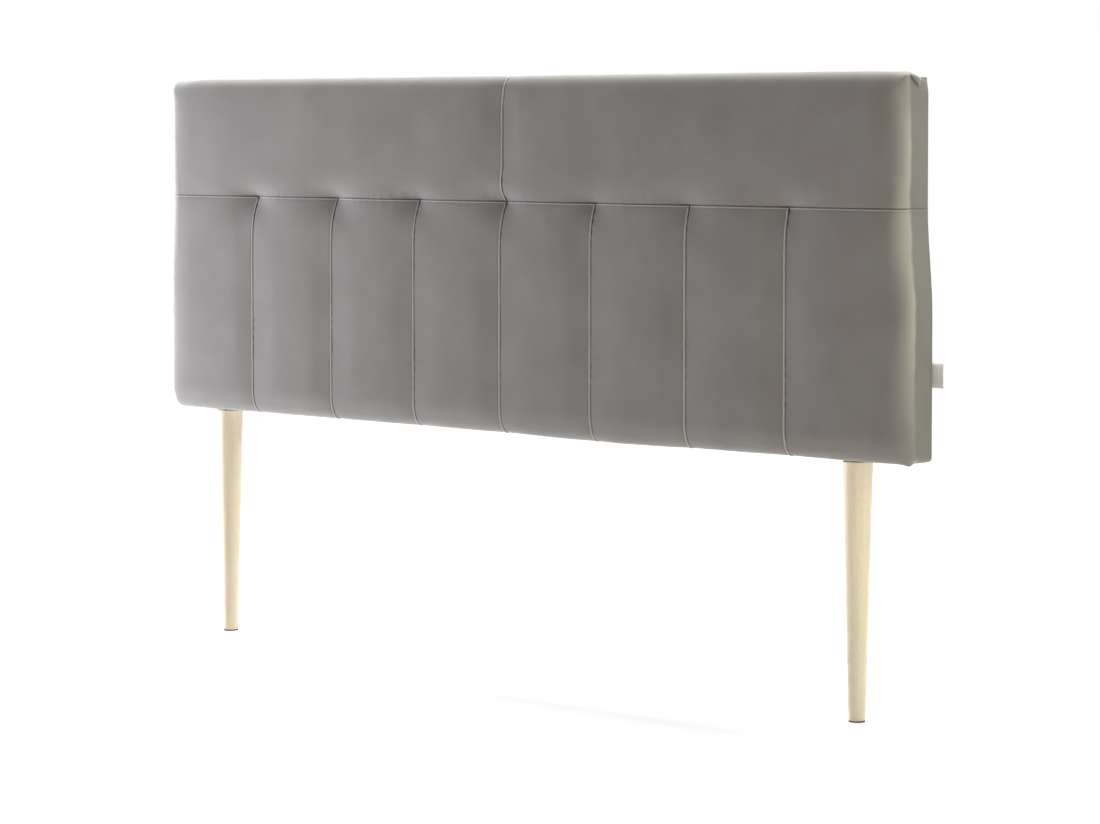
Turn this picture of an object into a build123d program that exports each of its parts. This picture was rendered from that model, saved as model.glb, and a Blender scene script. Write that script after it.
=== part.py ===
from build123d import *
import math
import os

# Upholstered headboard on two turned legs, in millimetres.
# X runs along the board, Y from the front to the wall, Z up from the floor.
# The origin is on the floor, below the middle of the board.

# Overall sizes
board_width = 1600.0
total_height = 1000.0
underside_height = 405.0
board_thickness = 80.0

# Seams of the cover: even channels, the two at the ends a little wider
channel_count = 8
end_extra = 20.0
upper_row_height = 208.0

# Padded front, as depths behind the crown of the channels
pad_depth = 23.0
seam_depth = 6.0
cross_seam_depth = 9.0
tuft_depth = 20.0
end_valley_depth = 1.0
upper_scallop_depth = 0.5
tuft_reach_down = 117.0
tuft_reach_up = 67.0
side_round = 22.0
top_round = 13.0
bottom_round = 18.0
lower_corner_round = 18.0
upper_corner_round = 6.0

# Cover cloth and foam
cover_skin = 2.5
foam_clearance = 0.3
seam_allowance = 8.0
side_wrap = 8.0
top_wrap = 10.0
bottom_wrap = 4.0
lip_width = 45.0
lip_thickness = 1.4

# Frame
rail_height = 45.0
front_board_thickness = 3.0
back_board_thickness = 16.0
upright_share = 1.5
tie_hole_radius = 2.5
tie_radius = 1.0
tie_washer_radius = 7.0
tie_washer_thickness = 2.0

# Frame screws and back board screws
frame_screw_radius = 2.25
frame_screw_length = 90.0
back_screw_radius = 2.0
back_screw_length = 30.0
screw_head_spread = 2.25
screw_clearance = 0.05

# Back cover and its staples
back_cover_thickness = 0.6
back_cover_inset = 20.0
staple_inset = 36.0
staple_spacing = 95.0
staple_crown = 12.0
staple_wire = 0.7
staple_length = 9.0

# Side tab
tab_out = 18.0
tab_root = 14.0
tab_height = 38.0
tab_middle_height = 538.0
tab_thickness = 0.6

# Legs and their fixings
leg_inset = 109.0
leg_setback = 47.0
leg_top_radius = 23.5
leg_foot_radius = 13.8
leg_edge_round = 1.2
bolt_radius = 4.0
bolt_in_leg = 28.0
bolt_tip_chamfer = 1.0
bolt_hole_radius = 5.0
thread_clearance = 0.06
insert_radius = 6.0
insert_length = 20.0
insert_flange_radius = 9.0
insert_flange_thickness = 1.5
insert_relief = 3.0
washer_radius = 17.0
washer_thickness = 1.6
glide_inset = 0.75
glide_thickness = 2.0
glide_pin_radius = 1.0
glide_pin_length = 12.0

# Cutting tools reach this far past what they cut
overrun = 1.0

# How the pull of a tuft fades, as shares of its reach, and of its depth and the crown's
fade_reach_shares = (0.0, 0.15, 0.45, 1.0)
fade_pull_shares = (1.0, 0.7, 0.33, 0.0)
fade_crown_shares = (1.0, 0.5, 0.12, 0.0)

# Where the screws along a rail stand, as shares of the board's half width
rail_screw_shares = (0.19, 0.66)

# An edge is rounded in these steps, from the edge inwards
round_angles = (90, 60, 30, 0)

half_width = board_width / 2
half_channels = channel_count // 2
channel_pitch = (board_width - 2 * end_extra) / channel_count
upright_spread = upright_share * channel_pitch
bottom_z = underside_height
top_z = total_height
cross_seam_z = top_z - upper_row_height
front_y = -board_thickness / 2
pad_rear_y = front_y + pad_depth
batten_front_y = pad_rear_y + front_board_thickness
back_y = board_thickness / 2
lip_rear_y = back_y - back_cover_thickness
lip_front_y = lip_rear_y - lip_thickness
back_board_front_y = lip_front_y - back_board_thickness
batten_depth = back_board_front_y - batten_front_y
batten_middle_y = (back_board_front_y + batten_front_y) / 2
wood_half_width = half_width - side_wrap
wood_bottom_z = bottom_z + bottom_wrap
wood_top_z = top_z - top_wrap
leg_y = front_y + leg_setback
leg_spread = half_width - leg_inset
leg_top_z = bottom_z - washer_thickness
tuft_columns = [channel_pitch * index for index in range(half_channels)]


# A block between two opposite corners
def block(x0, x1, y0, y1, z0, z1):
    middle = ((x0 + x1) / 2, (y0 + y1) / 2, (z0 + z1) / 2)
    return Pos(*middle) * Box(x1 - x0, y1 - y0, z1 - z0)


# A cylinder up from a point
def post(x, y, z, radius, height):
    aligned = (Align.CENTER, Align.CENTER, Align.MIN)
    return Pos(x, y, z) * Cylinder(radius, height, align=aligned)


# A cylinder that runs back, towards the wall, from a point
def peg(x, y, z, radius, length):
    return Pos(x, y, z) * Rot(-90, 0, 0) * post(0, 0, 0, radius, length)


# The left-hand copy of a right-hand piece
def left_of(shape):
    return mirror(shape, about=Plane.YZ)


# How far a quarter-round edge has fallen back at a distance in from the edge
def fall_back(distance, radius):
    inside = max(radius - distance, 0)
    return radius - math.sqrt(radius**2 - inside**2)


# One level outline of a pad: flat rear, an arc over each channel, and a round outer side
def level_outline(z, columns, valleys, crowns, side_x):
    fronts = [(x, front_y + valley, z) for x, valley in zip(columns, valleys)]
    rear_start = (columns[0], pad_rear_y, z)
    edges = [Edge.make_line(rear_start, fronts[0])]
    for start, end, crown in zip(fronts, fronts[1:], crowns):
        peak = ((start[0] + end[0]) / 2, front_y + crown, z)
        edges.append(Edge.make_three_point_arc(start, peak, end))
    last = fronts[-1]
    if side_x is not None:
        side_y = front_y + side_round
        lean = math.sqrt(0.5)
        bulge_x = side_x - (side_x - last[0]) * (1 - lean)
        bulge_y = side_y - (side_y - last[1]) * lean
        side = (side_x, side_y, z)
        edges.append(Edge.make_three_point_arc(last, (bulge_x, bulge_y, z), side))
        last = side
    rear_end = (last[0], pad_rear_y, z)
    edges.append(Edge.make_line(last, rear_end))
    edges.append(Edge.make_line(rear_end, rear_start))
    return Wire(edges)


# Heights of the lower row with the depths of its seams and crowns, from the underside up
def lower_levels():
    levels = []
    for angle in round_angles:
        rise = bottom_round * (1 - math.sin(math.radians(angle)))
        fall = bottom_round * (1 - math.cos(math.radians(angle)))
        levels.append((bottom_z + rise, min(seam_depth + fall, tuft_depth), fall))
    fades = list(zip(fade_reach_shares, fade_pull_shares, fade_crown_shares))
    for reach, pull, crown in reversed(fades):
        z = cross_seam_z - tuft_reach_down * reach
        valley = seam_depth + (tuft_depth - seam_depth) * pull
        levels.append((z, valley, cross_seam_depth * crown))
    return levels


# Heights of the upper row with the depths of its centre seam, tuft columns and crowns
def upper_levels():
    levels = []
    for reach, pull, crown in zip(fade_reach_shares, fade_pull_shares, fade_crown_shares):
        z = cross_seam_z + tuft_reach_up * reach
        seam = seam_depth + (tuft_depth - seam_depth) * pull
        column = upper_scallop_depth + (tuft_depth - upper_scallop_depth) * pull
        levels.append((z, seam, column, cross_seam_depth * crown))
    for angle in reversed(round_angles):
        z = top_z - top_round * (1 - math.sin(math.radians(angle)))
        fall = top_round * (1 - math.cos(math.radians(angle)))
        levels.append((z, seam_depth + fall, upper_scallop_depth + fall, fall))
    return levels


# The outlines of one lower channel. A skin over zero gives the foam inside it.
def lower_outlines(x0, x1, is_end, skin, allowance):
    outlines = []
    for z, valley, crown in lower_levels():
        side_x = half_width - fall_back(z - bottom_z, lower_corner_round)
        end_x = side_x - side_round if is_end else x1 - allowance
        end_valley = crown + end_valley_depth if is_end else valley
        columns = (x0 + allowance, end_x)
        valleys = (valley + skin, end_valley + skin)
        outer = side_x if is_end and not skin else None
        outlines.append(level_outline(z, columns, valleys, [crown + skin], outer))
    return outlines


# The outlines of the upper right panel, from the centre seam to the side
def upper_outlines(skin, allowance):
    outlines = []
    for z, seam, column, crown in upper_levels():
        columns = [allowance, *tuft_columns[1:], half_width - side_round]
        valleys = [seam] + [column] * (half_channels - 1) + [crown + end_valley_depth]
        deeper = [valley + skin for valley in valleys]
        outer = None if skin else half_width
        crowns = [crown + skin] * half_channels
        outlines.append(level_outline(z, columns, deeper, crowns, outer))
    return outlines


# The foam levels leave out the rounded edge and the tuft, where the cover is pulled tight
def foam_between(outlines):
    return Solid.make_loft(outlines[1:-1], ruled=True)


# The board's outline as a slab with its corners rounded
def rounded_slab(y0, y1):
    slab = block(-half_width, half_width, y0, y1, bottom_z, top_z)
    corners = slab.edges().filter_by(Axis.Y).group_by(Axis.Z)
    slab = fillet(corners[0], lower_corner_round)
    corners = slab.edges().filter_by(Axis.Y).group_by(Axis.Z)
    return fillet(corners[-1], upper_corner_round)


# The cover that wraps round the frame's edges and turns in on the back
def edge_wrap():
    wood_box = (-wood_half_width, wood_half_width)
    ring = rounded_slab(pad_rear_y, lip_front_y)
    ring -= block(*wood_box, pad_rear_y, lip_front_y, wood_bottom_z, wood_top_z)
    opening_x = half_width - lip_width
    lip = rounded_slab(lip_front_y, lip_rear_y)
    lip -= block(
        -opening_x,
        opening_x,
        lip_front_y,
        lip_rear_y,
        bottom_z + lip_width,
        top_z - lip_width,
    )
    return ring + lip


# The region of the board that one panel covers
def panel_region(x0, x1, z0, z1):
    return block(x0, x1, front_y - overrun, back_y + overrun, z0, z1)


# Cover panels and foam pads, made on the right and mirrored to the left
def make_padding():
    pieces = {}
    wrap = edge_wrap()
    leg_hole = post(leg_spread, leg_y, bottom_z - overrun, bolt_hole_radius, bottom_wrap + 2 * overrun)
    edges = [*tuft_columns, half_width]
    for index, (x0, x1) in enumerate(zip(edges, edges[1:])):
        is_end = index == half_channels - 1
        pad = Solid.make_loft(lower_outlines(x0, x1, is_end, 0, 0), ruled=True)
        region_end = x1 + overrun if is_end else x1
        region = panel_region(x0, region_end, bottom_z - overrun, cross_seam_z)
        cavity = foam_between(lower_outlines(x0, x1, is_end, cover_skin, seam_allowance))
        panel = pad + (wrap & region) - cavity
        if x0 < leg_spread < x1:
            panel -= leg_hole
        foam_skin = cover_skin + foam_clearance
        foam_edge = seam_allowance + foam_clearance
        foam = foam_between(lower_outlines(x0, x1, is_end, foam_skin, foam_edge))
        foam &= foam_room(x1)
        right, left = half_channels + index + 1, half_channels - index
        pieces[f"lower_panel_{right}"] = panel
        pieces[f"lower_panel_{left}"] = left_of(panel)
        pieces[f"lower_foam_{right}"] = foam
        pieces[f"lower_foam_{left}"] = left_of(foam)
    pad = Solid.make_loft(upper_outlines(0, 0), ruled=True)
    region = panel_region(0, half_width + overrun, cross_seam_z, top_z + overrun)
    cavity = foam_between(upper_outlines(cover_skin, seam_allowance))
    foam = foam_between(
        upper_outlines(cover_skin + foam_clearance, seam_allowance + foam_clearance)
    )
    panel = pad + (wrap & region) - cavity
    foam &= foam_room(half_width)
    pieces["upper_right_panel"] = panel
    pieces["upper_left_panel"] = left_of(panel)
    pieces["upper_right_foam"] = foam
    pieces["upper_left_foam"] = left_of(foam)
    return pieces


# Trims foam so that it clears the ends of its pocket
def foam_room(x1):
    lower = [level[0] for level in lower_levels()]
    upper = [level[0] for level in upper_levels()]
    side = min(x1, half_width - side_round) - foam_clearance
    low_room = (lower[1] + foam_clearance, lower[-2] - foam_clearance)
    high_room = (upper[1] + foam_clearance, upper[-2] - foam_clearance)
    room = block(0, side, front_y, pad_rear_y, *low_room)
    return room + block(0, side, front_y, pad_rear_y, *high_room)


# A countersunk screw that points along +Z, with its head's face at the origin
def screw(radius, length, grow=0.0):
    head = Cone(
        radius + screw_head_spread + grow,
        radius + grow,
        screw_head_spread,
        align=(Align.CENTER, Align.CENTER, Align.MIN),
    )
    return head + post(0, 0, 0, radius + grow, length + grow)


# Places of the screws that join rails to stiles and uprights
def frame_screw_places():
    places = []
    for x in upright_lines():
        places.append(Pos(x, batten_middle_y, wood_bottom_z))
        places.append(Pos(x, batten_middle_y, wood_top_z) * Rot(180, 0, 0))
    return places


# Places of the screws that hold the back board
def back_screw_places():
    places = []
    for z in (wood_bottom_z + rail_height / 2, wood_top_z - rail_height / 2):
        for share in rail_screw_shares:
            for side in (-1, 1):
                places.append(Pos(side * share * half_width, lip_front_y, z) * Rot(90, 0, 0))
    for x in upright_lines():
        z = (wood_bottom_z + wood_top_z) / 2
        places.append(Pos(x, lip_front_y, z) * Rot(90, 0, 0))
    return places


# The middle lines of the stiles and uprights, from left to right
def upright_lines():
    stile = wood_half_width - rail_height / 2
    return (-stile, -upright_spread, upright_spread, stile)


# Rails, stiles, uprights, the two boards and their screws
def make_frame():
    depth = (batten_front_y, back_board_front_y)
    rail_x = (-wood_half_width, wood_half_width)
    low = (wood_bottom_z, wood_bottom_z + rail_height)
    high = (wood_top_z - rail_height, wood_top_z)
    pieces = {
        "bottom_rail": block(*rail_x, *depth, *low),
        "top_rail": block(*rail_x, *depth, *high),
        "front_board": block(*rail_x, pad_rear_y, batten_front_y, low[0], high[1]),
        "back_board": block(*rail_x, back_board_front_y, lip_front_y, low[0], high[1]),
    }
    names = ("left_stile", "left_upright", "right_upright", "right_stile")
    for name, x in zip(names, upright_lines()):
        pieces[name] = block(x - rail_height / 2, x + rail_height / 2, *depth, low[1], high[0])
    for side in (-1, 1):
        socket = leg_insert_shape(side, screw_clearance)
        relief_z = wood_bottom_z + insert_length
        socket += post(side * leg_spread, leg_y, relief_z, bolt_hole_radius, insert_relief)
        pieces["bottom_rail"] -= socket
    for x in every_tuft():
        pieces["front_board"] -= peg(x, pad_rear_y, cross_seam_z, tie_hole_radius, front_board_thickness)
    frame_screws = []
    for place in frame_screw_places():
        hole = place * screw(frame_screw_radius, frame_screw_length, screw_clearance)
        frame_screws.append(place * screw(frame_screw_radius, frame_screw_length))
        for name in ("bottom_rail", "top_rail", *names):
            pieces[name] -= hole
    back_screws = []
    for place in back_screw_places():
        hole = place * screw(back_screw_radius, back_screw_length, screw_clearance)
        back_screws.append(place * screw(back_screw_radius, back_screw_length))
        for name in ("bottom_rail", "top_rail", "back_board", *names):
            pieces[name] -= hole
    pieces["frame_screws"] = Compound(children=frame_screws)
    pieces["back_board_screws"] = Compound(children=back_screws)
    return pieces


# The tufts along the cross seam, from left to right
def every_tuft():
    return [-x for x in reversed(tuft_columns[1:])] + tuft_columns


# Twine through the front board at each tuft, held by a washer behind it
def make_tuft_ties():
    ties = []
    for x in every_tuft():
        twine = peg(x, pad_rear_y, cross_seam_z, tie_radius, front_board_thickness + tie_washer_thickness)
        washer = peg(x, batten_front_y, cross_seam_z, tie_washer_radius, tie_washer_thickness)
        ties.append(twine + washer)
    return Compound(children=ties)


# The cloth over the back, inside the turned-in edge of the cover
def make_back_cover():
    reach = half_width - back_cover_inset
    low, high = bottom_z + back_cover_inset, top_z - back_cover_inset
    return block(-reach, reach, lip_rear_y, back_y, low, high)


# One staple driven flush with the back, its crown along X
def staple():
    half = staple_crown / 2
    wire = staple_wire / 2
    crown = block(-half, half, back_y - staple_wire, back_y, -wire, wire)
    for side in (-1, 1):
        x = side * (half - wire)
        crown += block(x - wire, x + wire, back_y - staple_length, back_y - staple_wire, -wire, wire)
    return crown


# Staples at an even spacing round the back cover
def make_staples():
    one = staple()
    staples = []
    reach = half_width - staple_inset
    for z in (bottom_z + staple_inset, top_z - staple_inset):
        count = round(2 * reach / staple_spacing)
        for index in range(count + 1):
            x = -reach + 2 * reach * index / count
            staples.append(Pos(x, 0, z) * one)
    rise = top_z - bottom_z - 2 * staple_inset
    count = round(rise / staple_spacing)
    for x in (-reach, reach):
        for index in range(1, count):
            z = bottom_z + staple_inset + rise * index / count
            staples.append(Pos(x, 0, z) * Rot(0, 90, 0) * one)
    return Compound(children=staples)


# The bare tab of folded ribbon, its root on the turned-in cover
def make_side_tab():
    low = tab_middle_height - tab_height / 2
    root, tip = half_width - tab_root, half_width + tab_out
    return block(root, tip, lip_rear_y, lip_rear_y + tab_thickness, low, low + tab_height)


# The threaded insert's outside, grown for its socket in the rail
def leg_insert_shape(side, grow):
    x = side * leg_spread
    body = post(x, leg_y, wood_bottom_z, insert_radius + grow, insert_length)
    return body + post(x, leg_y, wood_bottom_z, insert_flange_radius + grow, insert_flange_thickness)


# A turned leg about the Z axis: a straight taper with eased edges
def leg_profile():
    foot, top, ease = leg_foot_radius, leg_top_radius, leg_edge_round
    return Polyline(
        (0, glide_thickness),
        (foot - ease, glide_thickness),
        (foot, glide_thickness + ease),
        (top, leg_top_z - ease),
        (top - ease, leg_top_z),
        (0, leg_top_z),
        close=True,
    )


# Leg, hanger bolt, insert, washer and glide for one side
def make_leg(side, name):
    x = side * leg_spread
    place = Pos(x, leg_y, 0)
    leg = place * revolve(make_face(Plane.XZ * leg_profile()), Axis.Z)
    bolt_bottom_z = leg_top_z - bolt_in_leg
    leg -= post(x, leg_y, bolt_bottom_z, bolt_radius, bolt_in_leg)
    leg -= post(x, leg_y, glide_thickness, glide_pin_radius, glide_pin_length)
    bolt_top_z = wood_bottom_z + insert_length
    bolt = post(x, leg_y, bolt_bottom_z, bolt_radius, bolt_top_z - bolt_bottom_z)
    bolt = chamfer(bolt.edges().group_by(Axis.Z)[-1], bolt_tip_chamfer)
    insert = leg_insert_shape(side, 0)
    insert -= post(x, leg_y, wood_bottom_z, bolt_radius + thread_clearance, insert_length)
    washer = post(x, leg_y, leg_top_z, washer_radius, washer_thickness)
    washer -= post(x, leg_y, leg_top_z, bolt_hole_radius, washer_thickness)
    glide = post(x, leg_y, 0, leg_foot_radius - glide_inset, glide_thickness)
    glide += post(x, leg_y, 0, glide_pin_radius, glide_thickness + glide_pin_length)
    return {
        f"{name}_leg": leg,
        f"{name}_leg_bolt": bolt,
        f"{name}_leg_insert": insert,
        f"{name}_leg_washer": washer,
        f"{name}_foot_glide": glide,
    }


pieces = {
    **make_padding(),
    **make_frame(),
    "tuft_ties": make_tuft_ties(),
    "back_cover": make_back_cover(),
    "back_staples": make_staples(),
    "side_tab": make_side_tab(),
    **make_leg(-1, "left"),
    **make_leg(1, "right"),
}

os.makedirs("parts", exist_ok=True)
for node, shape in pieces.items():
    export_step(shape, f"parts/{node}.step")
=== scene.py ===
import math
import bmesh
import bpy
import numpy as np
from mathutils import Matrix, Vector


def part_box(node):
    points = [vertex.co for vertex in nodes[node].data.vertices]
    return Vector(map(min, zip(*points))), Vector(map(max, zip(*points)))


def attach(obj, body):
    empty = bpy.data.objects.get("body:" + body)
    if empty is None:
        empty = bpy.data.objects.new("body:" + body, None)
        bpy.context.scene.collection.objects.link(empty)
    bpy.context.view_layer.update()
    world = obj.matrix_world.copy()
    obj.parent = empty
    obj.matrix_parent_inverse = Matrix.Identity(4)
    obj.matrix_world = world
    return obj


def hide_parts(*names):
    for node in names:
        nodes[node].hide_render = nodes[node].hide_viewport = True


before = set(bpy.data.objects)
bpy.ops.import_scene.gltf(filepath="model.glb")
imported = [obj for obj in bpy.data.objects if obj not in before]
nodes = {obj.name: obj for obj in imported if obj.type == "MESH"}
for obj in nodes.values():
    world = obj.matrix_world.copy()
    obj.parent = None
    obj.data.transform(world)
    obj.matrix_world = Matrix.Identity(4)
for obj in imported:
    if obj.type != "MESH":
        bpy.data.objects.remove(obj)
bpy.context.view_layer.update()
scene = bpy.context.scene
mm = 0.001
unrolled = math.pi / 2 - 1  # how much longer a quarter round of radius 1 is than its radius


def millimetres(node):
    # a CAD node's lowest and highest corners
    return [np.round(np.array(corner) / mm, 2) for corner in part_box(node)]


# The board's lines, read from the nodes that they belong to
firstLow, firstHigh = millimetres("lower_panel_5")
woodLow, woodHigh = millimetres("front_board")[0], millimetres("back_board")[1]
board = {
    "pitch": firstHigh[0],
    "halfWidth": millimetres("lower_panel_8")[1][0],
    "bottom": firstLow[2],
    "seam": firstHigh[2],
    "top": millimetres("upper_right_panel")[1][2],
    "front": firstLow[1],
    "back": firstHigh[1],
}
halfHeight, middle = (board["top"] - board["bottom"]) / 2, (board["top"] + board["bottom"]) / 2

# The velvet cover, in millimetres. A pair is (left, right)
cover = {
    # rounds, corners, and the lip that is turned in over the back
    "sideRound": 22.0, "topRound": 15.0, "bottomRound": 18.0, "backRound": 2.5, "crispRound": 9.0,
    "lowerCorner": 18.0, "upperCorner": 6.0, "backCorner": 10.0, "lipWidth": 45.0, "lipSink": 0.5,
    # what pulls the front in
    "seamPull": 2.8, "plainPull": 0.5, "pinchShare": 0.25, "crossPull": 3.7, "tuftPull": 20.0,
    "tuftShares": (0.95, 1.0, 0.95, 1.0, 0.78, 0.62, 0.62), "tuftPower": 1.25, "pullPower": 2.4,
    "sideRoom": 12.0, "lowRoom": 10.0, "highRoom": 7.0, "leastAtSide": 0.15, "leastAtEnd": 0.3,
    # the seams' raised bands, cracks and stitch dents, and how wide the painted shade beside a crack is
    "bandWidth": 4.2, "bandHeight": 0.75, "crossBandWidth": 3.2, "crossBandHeight": 0.5, "bandEdge": 0.3,
    "dent": 0.5, "crackDepth": 1.5, "crackShade": 1.0, "crackReach": (0.4, 0.55), "bandStop": 1.5,
    # waves and puckers
    "waveHeight": 0.35, "waveLengths": (45, 150), "puckerHeight": 0.45,
    # how the cloth settles: drawn in, standing out, dropped at the top corners, sagging, leaning, swaying
    "upperDraw": (-0.4, 3.6), "topDraw": (2.4, 0.0), "lowerStand": (6.0, 5.8), "standStart": 5.0,
    "rearDraw": 2.2, "rearPower": 2.2, "depth": 80.0, "dropFront": 3.0, "dropBack": 14.0,
    "sag": 3.0, "sagMiddle": 215.0, "pleat": 6.5, "pleatPlace": (-4.0, 17.0, 4.0),
    "topLean": 5.0, "bottomLean": 8.5, "sideLean": (4.0, 10.0), "leanPower": 1.5,
    "seamSway": 6.0, "topSway": 6.0, "overWood": 0.8, "overFront": 0.6, "gridStep": 3.4,
}

# How far from its edge, seam or tuft each of these fades, in millimetres
reach = {
    "crisp": 45.0, "seamPinch": 10.0, "crossDown": 17.0, "crossUp": 24.0, "sidePull": 70.0, "endPull": 45.0,
    "tuftAcross": 44.0, "tuftDown": 34.0, "tuftUp": 17.0, "gape": 40.0, "crossGape": 30.0, "pucker": 9.0,
    "stand": 170.0, "rearDraw": 30.0, "topDraw": 50.0, "sideDraw": 60.0, "dropFront": 80.0, "dropBack": 40.0,
    "drop": 45.0, "sag": 170.0, "sagUp": 35.0, "pleat": 10.0, "topLean": 30.0, "bottomLean": 46.0,
    "sideLean": 62.0, "leanBack": 60.0, "sway": 70.0, "swayUp": 70.0, "swayTop": 60.0,
}

# Grid lines close to a seam: the plain side, and the side with the doubled, top-stitched band
plainLines = (0, 0.35, 0.8, 1.4, 2.4, 4.2, 7.0)
bandLines = (0, 0.3, 0.7, 1.2, 2.0, 2.8, 3.4, 3.8, 4.2, 4.7, 5.2, 6.0, 7.6, 10.5)


def arcLines(radius, steps):
    # even lines over a quarter round
    return tuple(radius * math.pi / 2 * np.arange(steps + 1) / steps)


def gridLines(start, end, step, nearStart, nearEnd):
    # even lines a step apart, with the given lines near the start and near the end
    first, last = start + np.array(nearStart), end - np.array(nearEnd)[::-1]
    count = max(round((last[0] - first[-1]) / step), 1)
    return np.concatenate([first, np.linspace(first[-1], last[0], count + 1)[1:-1], last])


def rollOver(length, edge, radius):
    # straight to the start of the round, then r sin(angle) across and r (1 - cos(angle)) back, then
    # straight back
    angle = np.clip((np.abs(length) - edge + radius) / radius, 0, math.pi / 2)
    across = np.where(angle > 0, edge - radius + radius * np.sin(angle), np.abs(length))
    rest = np.maximum(np.abs(length) - edge - radius * unrolled, 0)
    return np.sign(length) * across, radius * (1 - np.cos(angle)) + rest


def smooth(share):
    # 3 t^2 - 2 t^3 between 0 and 1
    t = np.clip(share, 0, 1)
    return t * t * (3 - 2 * t)


def near(past, fade):
    # 1 past an edge, and smoothly down to 0 over the given length before it
    return smooth((past + fade) / fade)


def atLeast(least, share):
    # a share that only goes down to the least
    return least + (1 - least) * share


def cornerPlace(x, z):
    # the nearest corner's radius, and how far into its square a place is: 0 where its round starts, and
    # 1 at the edge
    corner = np.where(z > 0, cover["upperCorner"], cover["lowerCorner"])
    return corner, (np.abs(x) - board["halfWidth"]) / corner + 1, (np.abs(z) - halfHeight) / corner + 1


def frontBase(a, b):
    # (a, b) is a place on the unrolled cover. Both directions roll over their edges, the two falls add
    # as a hypotenuse, and each corner's square (u, v) becomes a quarter disc: u sqrt(1 - v^2 / 2). The
    # side's round gets smaller towards the top
    narrower = (cover["crispRound"] - cover["sideRound"]) * near(b - board["top"], reach["crisp"])
    x, fallX = rollOver(a, board["halfWidth"], cover["sideRound"] + narrower)
    radius = np.where(b > middle, cover["topRound"], cover["bottomRound"])
    z, fallZ = rollOver(b - middle, halfHeight, radius)
    corner, u, v = cornerPlace(x, z)
    u, v = np.clip(u, 0, 1), np.clip(v, 0, 1)
    x = x - np.sign(x) * corner * u * (1 - np.sqrt(1 - v**2 / 2))
    z = z - np.sign(z) * corner * v * (1 - np.sqrt(1 - u**2 / 2))
    return np.stack([x, board["front"] + np.hypot(fallX, fallZ), z + middle], axis=-1)


def settle(points):
    # the sides of the upper row are drawn in and those of the lower row stand out a little
    x, y, z = points[..., 0], points[..., 1], points[..., 2]
    pastSide, pastTop, pastFront = np.abs(x) - board["halfWidth"], z - board["top"], y - board["front"]
    pairs = ("upperDraw", "topDraw", "lowerStand", "sideLean")
    draw, topDraw, stand, sideLean = [np.where(x < 0, *cover[key]) for key in pairs]
    inward = draw - (draw + stand) * smooth((board["seam"] + cover["standStart"] - z) / reach["stand"])
    rear = np.clip(pastFront / cover["depth"], 0, 1) ** cover["rearPower"]
    inward = inward + cover["rearDraw"] * rear * near(pastTop, reach["rearDraw"])
    inward = inward + topDraw * near(pastTop, reach["topDraw"])
    drawn = np.abs(x) - inward * near(pastSide, reach["sideDraw"])
    # the cloth over the top corners slopes down towards the back, but stays over the wood
    drop = cover["dropFront"] * near(pastSide, reach["dropFront"]) * (1 - rear)
    drop = drop + cover["dropBack"] * near(pastSide, reach["dropBack"]) * rear
    lowered = z - drop * near(pastTop, reach["drop"])
    spare = cover["overWood"]
    overWood = (drawn < woodHigh[0] + 1.5 * spare) & (z > woodHigh[2])
    overWood &= (y > woodLow[1] - spare) & (y < woodHigh[1] + spare)
    lowered = np.where(overWood, np.maximum(lowered, woodHigh[2] + spare), lowered)
    # a small pleat hangs from the lower right corner, and the lower edge sags: exp(-(distance / reach)^2)
    pleatX, pleatY, pleatZ = cover["pleatPlace"]
    fromPleat = (pastSide - pleatX) ** 2 + (pastFront - pleatY) ** 2 + (z - board["bottom"] - pleatZ) ** 2
    lowered = lowered - cover["pleat"] * np.exp(-fromPleat / reach["pleat"] ** 2) * (x > 0)
    sag = cover["sag"] * np.exp(-(((x - cover["sagMiddle"]) / reach["sag"]) ** 2))
    lowered = lowered - sag * near(board["bottom"] - z, reach["sagUp"])
    # near its edges the front leans back into its rounds as t^1.5, but stays over the board under it
    lean = cover["topLean"] * near(pastTop, reach["topLean"]) ** cover["leanPower"]
    lean = lean + cover["bottomLean"] * near(board["bottom"] - z, reach["bottomLean"]) ** cover["leanPower"]
    lean = lean + sideLean * near(pastSide, reach["sideLean"]) ** cover["leanPower"]
    leaned = y + lean * np.clip(1 - pastFront / reach["leanBack"], 0, 1)
    overBoard = (drawn < woodHigh[0]) & (lowered > woodLow[2]) & (lowered < woodHigh[2]) & (y < woodLow[1])
    leaned = np.where(overBoard, np.minimum(leaned, woodLow[1] - cover["overFront"]), leaned)
    # the upper row's middle seam sways to the right as exp(-(x / reach)^2)
    sway = cover["seamSway"] * smooth((z - board["seam"]) / reach["swayUp"])
    sway = (sway + cover["topSway"] * near(pastTop, reach["swayTop"])) * np.exp(-((x / reach["sway"]) ** 2))
    return np.stack([np.sign(x) * drawn + sway, leaned, lowered], axis=-1)


def normalsOf(points):
    # the cross product of the grid's two directions
    normal = np.cross(np.gradient(points, axis=1), np.gradient(points, axis=0))
    return normal / np.maximum(np.linalg.norm(normal, axis=2, keepdims=True), 1e-9)


def nearestTuft(a):
    # the tufts are numbered from -3 to 3, a pitch apart
    return np.clip(np.round(a / board["pitch"]), -3, 3)


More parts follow.
